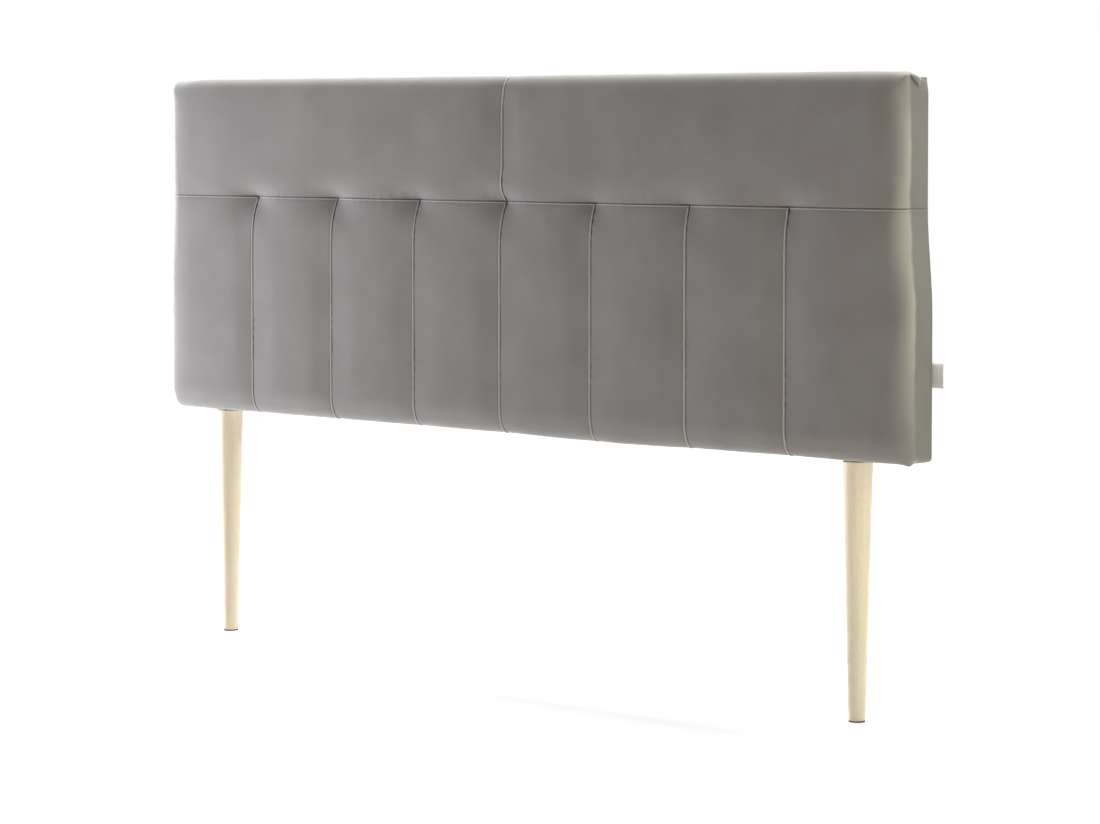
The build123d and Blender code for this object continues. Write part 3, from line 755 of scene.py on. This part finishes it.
def buildTab():
    # the layers part as sin^2 from the board's side to the tip and join in a half round, and their edges
    # stay where the middle of their height curls forward as a sine
    low, high = millimetres("side_tab")
    tip, root, y = high[0] + tab["further"], low[0], (low[1] + high[1]) / 2
    edge, fold, rows = board["halfWidth"], tab["fold"], tab["rows"]
    x = root + (tip - fold - root) * np.linspace(0, 1, tab["columns"])
    apart = tab["gape"] / 2 * np.sin(np.clip((x - edge) / (tip - edge), 0, 1) * math.pi) ** 2
    apart = apart + tab["thickness"] / 2 + 0.02 + (fold - 0.16) * near(x - tip, 5)
    turn = np.linspace(0, math.pi, 9)[1:-1]
    first = np.stack([x, y - apart], axis=-1)
    bend = np.stack([tip - fold + fold * np.sin(turn), y - apart[-1] * np.cos(turn)], axis=-1)
    line = np.concatenate([first, bend, (first * (1, -1) + (0, 2 * y))[::-1]])
    slope = np.gradient(line, axis=0)
    across = np.stack([slope[:, 1], -slope[:, 0]], axis=-1) / np.linalg.norm(slope, axis=1, keepdims=True)
    z = np.linspace(low[2], high[2], rows)
    curl = tab["curl"] * np.sin(np.linspace(0, math.pi, rows))[:, None]
    skins = []
    for side in (0.5, -0.5):
        skinX, skinY = (line + across * tab["thickness"] * side).T
        skinY = skinY - curl * smooth((skinX - edge) / tab["curlReach"])
        skins.append(np.stack([skinX + 0 * skinY, skinY, z[:, None] + 0 * skinY], axis=-1).reshape(-1, 3))
    faces = gridFaces(np.arange(rows * len(line)).reshape(rows, len(line)))
    uv = np.tile(np.stack([np.tile(lengthAlong(line), rows), np.repeat(z, len(line))], axis=-1), (2, 1))
    return meshPiece("bareTab", np.concatenate(skins), closedFaces(faces, len(skins[0])), uv)


def linear(code):
    # an sRGB hex value as linear light
    channels = np.array([int(code[i:i + 2], 16) for i in (1, 3, 5)]) / 255
    light = np.where(channels <= 0.04045, channels / 12.92, ((channels + 0.055) / 1.055) ** 2.4)
    return (*light.tolist(), 1.0)


def addNode(tree, kind, inputs=None, **settings):
    # one node with its settings; an input is a (node, outlet) pair that feeds it, a hex colour or a value
    node = tree.nodes.new("ShaderNode" + kind)
    for key, value in settings.items():
        setattr(node, key, value)
    for key, value in (inputs or {}).items():
        if isinstance(value, tuple) and isinstance(value[0], bpy.types.Node):
            tree.links.new(value[0].outputs[value[1]], node.inputs[key])
        else:
            node.inputs[key].default_value = linear(value) if isinstance(value, str) else value
    return node


def newMaterial(name, onCloth=False):
    # a material, its tree, and the outlet that places its patterns: the cloth's own map or the object
    material = bpy.data.materials.new(name)
    material.use_nodes = True
    tree = material.node_tree
    tree.nodes.clear()
    if onCloth:
        return material, tree, (addNode(tree, "UVMap", uv_map="clothUV"), "UV")
    return material, tree, (addNode(tree, "TexCoord"), "Object")


def finishShader(tree, inputs):
    # the principled shader and the material's output
    shader = addNode(tree, "BsdfPrincipled", inputs)
    addNode(tree, "OutputMaterial", {"Surface": (shader, "BSDF")})


def finishPattern(material, tones, roughness, relief, finish=None):
    # a colour between two tones, a roughness between two values, and a bump of some strength and depth,
    # each led by the pattern that comes third
    tree = material.node_tree
    tone = addNode(tree, "Mix", {"A": tones[0], "B": tones[1], "Factor": tones[2]}, data_type="RGBA")
    rough = addNode(tree, "MapRange", {"To Min": roughness[0], "To Max": roughness[1], "Value": roughness[2]})
    bump = addNode(tree, "Bump", {"Strength": relief[0], "Distance": relief[1], "Height": relief[2]})
    finishShader(tree, {"Base Color": (tone, "Result"), "Roughness": (rough, "Result"),
                        "Normal": (bump, "Normal")} | (finish or {}))
    return material


def patternMaterial(name, tones, kind, pattern, roughness, relief, finish=None, **settings):
    # a material whose colour, roughness and bump are all led by one pattern
    material, tree, place = newMaterial(name)
    led = addNode(tree, kind, pattern | {"Vector": place}, **settings), "Fac"
    return finishPattern(material, (*tones, led), (*roughness, led), (*relief, led), finish)


# Each layer of painted light or shade is a colour and its most share; crack is the painted shade in the
# seams' cracks
velvet = {"dark": "#766F6B", "light": "#8B8784", "crack": "#34312E", "ridge": ("#B4B0AA", 0.6),
          "sideNap": ("#6B675C", 0.5), "rubbed": ("#B5B0A2", 0.58), "sheen": 0.5}


def velvetMaterial():
    # polyester velvet, cut pile: matt, with a soft sheen and cloudy patches where the pile leans; painted
    # shade makes it darker towards the right, on the sides and in the seam cracks, and painted highlights
    # lighten its bands and edges
    material, tree, cloth = newMaterial("cutPileVelvet", onCloth=True)
    clouds = {"Scale": 9.0, "Detail": 3.0, "Roughness": 0.55, "Vector": cloth}
    patches = addNode(tree, "TexNoise", clouds)
    pile = addNode(tree, "TexNoise", {"Scale": 900.0, "Detail": 2.0, "Vector": cloth})
    # painted shade: darker towards the board's right end, lighter at its left
    across = addNode(tree, "SeparateXYZ", {"Vector": cloth})
    rightwardPaintedShade = addNode(tree, "MapRange", {"From Min": -0.8, "From Max": 0.8, "To Min": 0.12, "To Max": -0.3,
                                     "Value": (across, "X")})
    share = addNode(tree, "Math", {0: (patches, "Fac"), 1: (rightwardPaintedShade, "Result")}, operation="ADD")
    tone = addNode(tree, "Mix", {"A": velvet["dark"], "B": velvet["light"], "Factor": (share, "Value")},
                   data_type="RGBA")
    # painted highlight on the seam bands, painted shade on the sides, painted highlight along the sides'
    # front edges
    for layer in ("ridge", "sideNap", "rubbed"):
        colour, most = velvet[layer]
        mark = addNode(tree, "Attribute", attribute_name=layer)
        share = addNode(tree, "MapRange", {"To Max": most, "Value": (mark, "Fac")})
        tone = addNode(tree, "Mix", {"A": (tone, "Result"), "B": colour, "Factor": (share, "Result")},
                       data_type="RGBA")
    # painted shade in the seams' cracks and along the corner tucks' creases
    crack = addNode(tree, "Attribute", attribute_name="crack")
    return finishPattern(material, ((tone, "Result"), velvet["crack"], (crack, "Fac")),
                         (0.78, 0.95, (patches, "Fac")), (0.25, 0.0004, (pile, "Fac")),
                         {"Sheen Weight": velvet["sheen"], "Sheen Roughness": 0.4, "Specular IOR Level": 0.2})


beech = {"light": "#E9D9C1", "dark": "#DBC6A6", "pore": "#B89A72"}


def beechMaterial():
    # turned beech under a clear satin lacquer: straight pale grain along the leg with short dark flecks
    material, tree, place = newMaterial("lacqueredBeech")
    stretch = addNode(tree, "Mapping", {"Scale": (140.0, 140.0, 3.0), "Vector": place})
    short = addNode(tree, "Mapping", {"Scale": (900.0, 900.0, 130.0), "Vector": place})
    grain = addNode(tree, "TexNoise", {"Scale": 1.0, "Detail": 4.0, "Vector": (stretch, "Vector")})
    flecks = addNode(tree, "TexNoise", {"Scale": 1.0, "Detail": 1.0, "Vector": (short, "Vector")})
    fleck = addNode(tree, "MapRange", {"From Min": 0.62, "From Max": 0.74, "To Max": 0.4,
                                       "Value": (flecks, "Fac")})
    tone = addNode(tree, "Mix", {"A": beech["light"], "B": beech["dark"], "Factor": (grain, "Fac")},
                   data_type="RGBA")
    return finishPattern(material, ((tone, "Result"), beech["pore"], (fleck, "Result")),
                         (0.32, 0.45, (grain, "Fac")), (0.08, 0.0003, (grain, "Fac")),
                         {"Coat Weight": 0.25, "Coat Roughness": 0.25})


pine = {"early": "#D9B888", "late": "#B98A55"}


def pineMaterial(name, scale):
    # sawn pine: growth rings stretched along the timber, with a rough saw finish
    material, tree, place = newMaterial(name)
    stretch = addNode(tree, "Mapping", {"Scale": scale, "Vector": place})
    wavy = {"Scale": 1.0, "Distortion": 5.0, "Detail": 3.0, "Vector": (stretch, "Vector")}
    rings = addNode(tree, "TexWave", wavy, wave_type="RINGS")
    fibres = addNode(tree, "TexNoise", {"Scale": 14.0, "Detail": 3.0, "Vector": (stretch, "Vector")})
    return finishPattern(material, (pine["early"], pine["late"], (rings, "Fac")),
                         (0.65, 0.85, (fibres, "Fac")), (0.3, 0.0005, (fibres, "Fac")))


hardboard = {"dark": "#5E422B", "light": "#7E5D3F"}


def hardboardMaterial():
    # pressed wood fibre, brown with fine darker felted fibres
    return patternMaterial("pressedHardboard", hardboard.values(), "TexNoise",
                           {"Scale": 420.0, "Detail": 4.0}, (0.45, 0.7), (0.2, 0.0002))


chips = {"pale": "#C9A878", "dark": "#86643F"}


def chipMaterial():
    # particle board: pressed chips a few millimetres across, each with its own tone
    material, tree, place = newMaterial("particleBoard")
    cells = addNode(tree, "TexVoronoi", {"Scale": 260.0, "Vector": place})
    pick = addNode(tree, "SeparateColor", {"Color": (cells, "Color")})
    return finishPattern(material, (chips["pale"], chips["dark"], (pick, "Red")), (0.7, 0.9, (pick, "Green")),
                         (0.25, 0.0003, (cells, "Distance")))


zinc = {"bright": "#C3C6CC", "dull": "#989CA3"}


def zincMaterial():
    # zinc-plated steel: grey with faint blue and dull spots where it was handled
    return patternMaterial("zincPlatedSteel", zinc.values(), "TexNoise", {"Scale": 300.0, "Detail": 3.0},
                           (0.26, 0.46), (0.1, 0.0001), {"Metallic": 1.0})


glide = {"base": "#3A332D", "scuff": "#5C544C"}


def glideMaterial():
    # moulded nylon glide, matt, with scuffs from the floor
    material, tree, place = newMaterial("mouldedNylon")
    scuffs = addNode(tree, "TexNoise", {"Scale": 700.0, "Detail": 4.0, "Vector": place})
    mark = addNode(tree, "MapRange", {"From Min": 0.55, "From Max": 0.75, "Value": (scuffs, "Fac")})
    return finishPattern(material, (glide["base"], glide["scuff"], (mark, "Result")),
                         (0.5, 0.7, (scuffs, "Fac")), (0.15, 0.0002, (scuffs, "Fac")))


thread = {"light": "#A29D96", "dark": "#7F7A74"}
twine = {"light": "#C9C0AD", "dark": "#9F9480"}


def threadMaterial(name, colours, twist):
    # twisted thread or twine: fine slanting stripes a strand wide
    return patternMaterial(name, colours.values(), "TexWave", {"Scale": twist, "Distortion": 0.6},
                           (0.55, 0.75), (0.4, 0.0001), {"Sheen Weight": 0.2, "Sheen Roughness": 0.4},
                           bands_direction="DIAGONAL")


nonwoven = {"base": "#1B1C1F", "fibre": "#33353A"}


def nonwovenMaterial():
    # spun-bonded polypropylene: black, with a grid of bonded dots about 1 mm apart and loose fibres
    material, tree, cloth = newMaterial("spunBondedCloth", onCloth=True)
    dots = addNode(tree, "TexVoronoi", {"Scale": 900.0, "Randomness": 0.15, "Vector": cloth})
    fibres = addNode(tree, "TexNoise", {"Scale": 1500.0, "Detail": 3.0, "Vector": cloth})
    return finishPattern(material, (nonwoven["base"], nonwoven["fibre"], (fibres, "Fac")),
                         (0.55, 0.85, (dots, "Distance")), (0.5, 0.0002, (dots, "Distance")),
                         {"Sheen Weight": 0.15, "Sheen Roughness": 0.5})


ribbon = {"light": "#FAF7F1", "dark": "#ECE7DD", "through": 0.6}


def ribbonMaterial():
    # bare satin ribbon: fine crosswise ribs, drawn at 0.5 mm, and thin enough for light to come through
    material, tree, cloth = newMaterial("satinRibbon", onCloth=True)
    crosswise = {"Scale": 630.0, "Distortion": 0.3, "Vector": cloth}
    ribs = addNode(tree, "TexWave", crosswise, bands_direction="X")
    shade = addNode(tree, "TexNoise", {"Scale": 120.0, "Detail": 2.0, "Vector": cloth})
    return finishPattern(material, (ribbon["light"], ribbon["dark"], (shade, "Fac")),
                         (0.35, 0.55, (ribs, "Fac")), (0.3, 0.0001, (ribs, "Fac")),
                         {"Sheen Weight": 0.1, "Sheen Roughness": 0.3, "Subsurface Weight": ribbon["through"],
                          "Subsurface Radius": (1, 1, 1), "Subsurface Scale": 0.002})


# The camera that took the picture: 1100 by 824, seen from the right and a little below the top edge
cameraValues = {"place": (3.484, -4.022, 0.917), "pitch": 2.45, "yaw": 40.27, "lens": 104.3, "shiftY": -0.136}
lens = bpy.data.cameras.new("camera")
lens.lens, lens.sensor_width, lens.shift_y = cameraValues["lens"], 36.0, cameraValues["shiftY"]
camera = bpy.data.objects.new("camera", lens)
camera.location = cameraValues["place"]
camera.rotation_euler = (math.radians(90 - cameraValues["pitch"]), 0, math.radians(cameraValues["yaw"]))
scene.collection.objects.link(camera)
scene.camera = camera
print("camera placed")


def fixPiece(piece, finish, stands=()):
    # finish a piece, fix it to the board and let it stand for its nodes
    piece.data.materials.append(finish)
    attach(piece, "board")
    if stands:
        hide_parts(*stands)
    return piece


velvetFinish = velvetMaterial()
plan = panelPlan()
for panel in plan.values():
    shapeFront(panel)
simulateCover(plan)
for name, panel in plan.items():
    piece = fixPiece(buildPanel(f"velvet_{name}", panel), velvetFinish, panel["stands"])
print("cover panels made")

fixPiece(buildStitches(plan), threadMaterial("polyesterThread", thread, 2600.0))
fixPiece(buildTies(), threadMaterial("waxedTwine", twine, 500.0), ["tuft_ties"])
print("stitches and ties made")

backCloth = fixPiece(buildBacking(), nonwovenMaterial(), ["back_cover"])
bareTab = fixPiece(buildTab(), ribbonMaterial(), ["side_tab"])
print("back cloth and tab made")

# The CAD parts that stay keep their shapes and get their real finishes
alongX = pineMaterial("sawnPineRail", (3.0, 90.0, 90.0))
alongZ = pineMaterial("sawnPineStile", (90.0, 90.0, 3.0))
sides = ("left", "right")
finishes = [
    (["top_rail", "bottom_rail"], alongX),
    ([f"{side}_{timber}" for side in sides for timber in ("stile", "upright")], alongZ),
    (["front_board"], hardboardMaterial()),
    (["back_board"], chipMaterial()),
    (["frame_screws", "back_board_screws", "back_staples"]
     + [f"{side}_leg_{fixing}" for side in sides for fixing in ("bolt", "insert", "washer")], zincMaterial()),
    ([f"{side}_leg" for side in sides], beechMaterial()),
    ([f"{side}_foot_glide" for side in sides], glideMaterial()),
]
for names, finish in finishes:
    for name in names:
        nodes[name].data.materials.clear()
        nodes[name].data.materials.append(finish)
print("finishes set")

# Floor: white paper, which glows more further out, so that it ends in the white background
studio = {"floorGlow": 0.25, "floorReach": (1.3, 3.2), "skyLow": 0.02, "skyHigh": 0.06}
floorMesh = bpy.data.meshes.new("floor")
floorMesh.from_pydata([(-14, -14, 0), (14, -14, 0), (14, 14, 0), (-14, 14, 0)], [], [(0, 1, 2, 3)])
floor = bpy.data.objects.new("floor", floorMesh)
scene.collection.objects.link(floor)
floorFinish, floorTree, spot = newMaterial("whitePaper")
fromMiddle = addNode(floorTree, "VectorMath", {0: spot}, operation="LENGTH")
start, end = studio["floorReach"]
further = addNode(floorTree, "MapRange", {"From Min": start, "From Max": end, "To Min": studio["floorGlow"],
                                          "To Max": 1.0, "Value": (fromMiddle, "Value")})
paper = addNode(floorTree, "TexNoise", {"Scale": 220.0, "Detail": 2.0, "Vector": spot})
paperTone = addNode(floorTree, "Mix", {"A": "#F2F2F1", "B": "#F6F6F5", "Factor": (paper, "Fac")},
                    data_type="RGBA")
finishShader(floorTree, {"Base Color": (paperTone, "Result"), "Roughness": 0.7,
                         "Emission Color": (1, 1, 1, 1), "Emission Strength": (further, "Result")})
floorMesh.materials.append(floorFinish)

# The sky is white to look at, and as a light it is dim near the horizon and brighter overhead
world = bpy.data.worlds.new("studio")
world.use_nodes = True
sky = world.node_tree
sky.nodes.clear()
way = addNode(sky, "TexCoord")
height = addNode(sky, "SeparateXYZ", {"Vector": (way, "Generated")})
glow = addNode(sky, "MapRange", {"To Min": studio["skyLow"], "To Max": studio["skyHigh"],
                                 "Value": (height, "Z")})
seen = addNode(sky, "LightPath")
strength = addNode(sky, "Mix", {"Factor": (seen, "Is Camera Ray"), "A": (glow, "Result"), "B": 1.0},
                   data_type="FLOAT")
backdrop = addNode(sky, "Background", {"Color": (1, 1, 1, 1), "Strength": (strength, "Result")})
addNode(sky, "OutputWorld", {"Surface": (backdrop, "Background")})
scene.world = world
scene.view_settings.view_transform = "Standard"


def softLight(name, place, target, size, power, colour):
    # a soft box of width and height size that faces its target
    lamp = bpy.data.lights.new(name, "AREA")
    lamp.shape, lamp.size, lamp.size_y, lamp.energy, lamp.color = "RECTANGLE", *size, power, colour
    light = bpy.data.objects.new(name, lamp)
    light.location = place
    way = np.array(target, float) - np.array(place, float)
    tilt, heading = math.acos(-way[2] / np.linalg.norm(way)), math.atan2(way[1], way[0])
    light.rotation_euler = (tilt, 0, heading - math.pi / 2)
    scene.collection.objects.link(light)


softLight("key", (-1.95, -0.52, 0.6), (-0.3, 0, 0.7), (0.6, 0.8), 33, (0.97, 1.0, 1.13))
softLight("side", (3.2, -0.15, 1.5), (0.8, 0, 0.6), (0.8, 1.6), 19, (0.98, 1.02, 0.72))
softLight("frontSide", (2.2, -0.9, 1.0), (0.8, 0, 0.5), (0.5, 1.2), 3, (1.08, 0.98, 0.9))
softLight("top", (0, 0.5, 2.6), (0, 0, 1.0), (3.2, 1.4), 153, (0.97, 1.01, 1.0))
print("stage and lights set")
